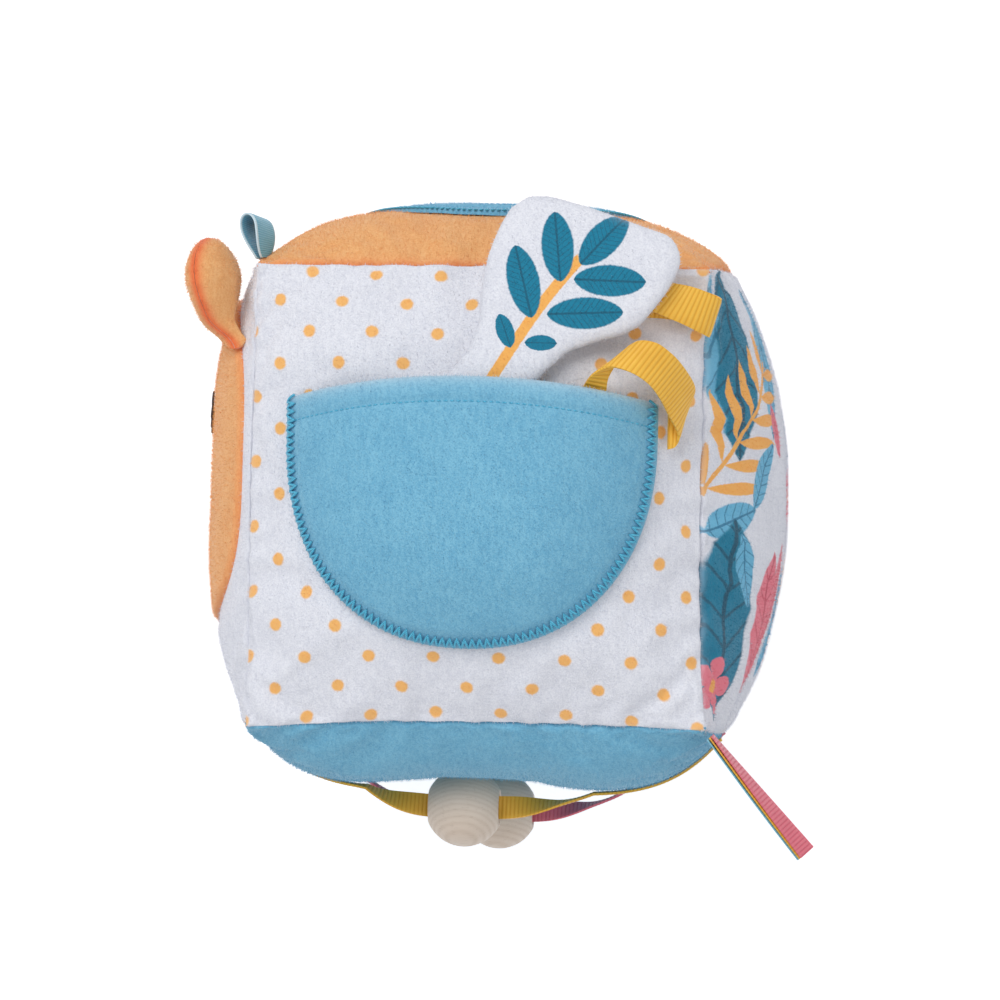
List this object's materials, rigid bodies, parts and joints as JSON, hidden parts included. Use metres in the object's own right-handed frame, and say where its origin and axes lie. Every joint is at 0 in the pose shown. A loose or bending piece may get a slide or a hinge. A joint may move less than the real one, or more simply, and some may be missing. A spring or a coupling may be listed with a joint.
{
  "type": "soft fabric activity block",
  "caption": "Stuffed plush cube for a baby, with a pocket and tied figure, sliding beads on ribbons, ears, a mirror and ribbon tails.",
  "frame": {"origin": "middle of the flat patch on the back panel that the block rests on", "axes": "+Z out of the pocket panel, +Y towards the orange mirror side, +X towards the printed side"},
  "size_m": [0.1604, 0.1722, 0.1525],
  "materials": {
    "dotted_plush": "short white plush with a printed polka dot",
    "white_plush": "short white plush",
    "leaf_print": "smooth cloth printed with leaves",
    "orange_plush": "short orange plush",
    "blue_plush": "short blue plush",
    "fibre": "loose white polyester fibre",
    "yellow_ribbon": "ribbed grosgrain ribbon",
    "pink_ribbon": "ribbed grosgrain ribbon",
    "blue_satin": "fine light blue ribbon",
    "mirror_foil": "flexible mirror film",
    "pale_wood": "sanded pale wood, unvarnished"
  },
  "bodies": {
    "block": {"front_panel": "dotted_plush", "back_panel": "leaf_print", "top_panel": "orange_plush", "bottom_panel": "blue_plush", "left_panel": "white_plush", "right_panel": "leaf_print", "fibre_filling": "fibre", "face_patch": "orange_plush", "mirror_foil": "mirror_foil", "mirror_ring": "blue_plush", "pocket_panel": "blue_plush", "tether_ribbon": "yellow_ribbon", "front_bead_ribbon": "yellow_ribbon", "rear_bead_ribbon": "pink_ribbon"},
    "figure": {"figure_front": "white_plush", "figure_back": "white_plush", "figure_wadding": "fibre"},
    "front_ear": {"front_ear_front": "orange_plush", "front_ear_back": "orange_plush", "front_ear_wadding": "fibre"},
    "rear_ear": {"rear_ear_front": "orange_plush", "rear_ear_back": "orange_plush", "rear_ear_wadding": "fibre"},
    "corner_loop": {"hang_loop": "blue_satin"},
    "near_bead": {"front_bead": "pale_wood"},
    "far_bead": {"rear_bead": "pale_wood"},
    "middle_tail": {"yellow_tail": "yellow_ribbon"},
    "upper_tail": {"pink_tail": "pink_ribbon"},
    "lower_tail": {"blue_tail": "blue_satin"}
  },
  "joints": [
    {"name": "figure_slide", "type": "slide", "parent": "block", "child": "figure", "axis": [0.5841, 0.8039, -0.1126], "range_m": [0, 0.045], "deforming": ["tether_ribbon"]},
    {"name": "near_bead_slide", "type": "slide", "parent": "block", "child": "near_bead", "axis": [1, 0, 0], "range_m": [-0.003, 0.01]},
    {"name": "far_bead_slide", "type": "slide", "parent": "block", "child": "far_bead", "axis": [1, 0, 0], "range_m": [-0.007, 0.007]},
    {"name": "front_ear_flex", "type": "hinge", "parent": "block", "child": "front_ear", "pos_m": [-0.06639, 0.0365, 0.12], "axis": [0.3416, 0.048, -0.9386], "range_deg": [-35, 2], "stiffness_Nm_per_rad": 0.003},
    {"name": "rear_ear_flex", "type": "hinge", "parent": "block", "child": "rear_ear", "pos_m": [-0.06639, 0.0365, 0.014], "axis": [0.3416, 0.048, 0.9386], "range_deg": [-2, 35], "stiffness_Nm_per_rad": 0.003},
    {"name": "loop_flex", "type": "hinge", "parent": "block", "child": "corner_loop", "pos_m": [-0.05895, 0.06065, 0.11795], "axis": [-0.3411, -0.0725, 0.9372], "range_deg": [-10, 20], "stiffness_Nm_per_rad": 0.001},
    {"name": "tail_swing", "type": "hinge", "parent": "block", "child": "middle_tail", "pos_m": [0.05928, -0.05948, 0.12525], "axis": [-0.0401, -0.0336, 0.9986], "range_deg": [-35, 35], "stiffness_Nm_per_rad": 0.0006},
    {"name": "upper_tail_fan", "type": "hinge", "parent": "middle_tail", "child": "upper_tail", "pos_m": [0.05981, -0.05903, 0.12529], "axis": [-0.0401, -0.0336, 0.9986], "range_deg": [0, 30], "stiffness_Nm_per_rad": 0.0003},
    {"name": "lower_tail_fan", "type": "hinge", "parent": "middle_tail", "child": "lower_tail", "pos_m": [0.05874, -0.05993, 0.12521], "axis": [-0.0401, -0.0336, 0.9986], "range_deg": [-30, 0], "stiffness_Nm_per_rad": 0.0003}
  ]
}
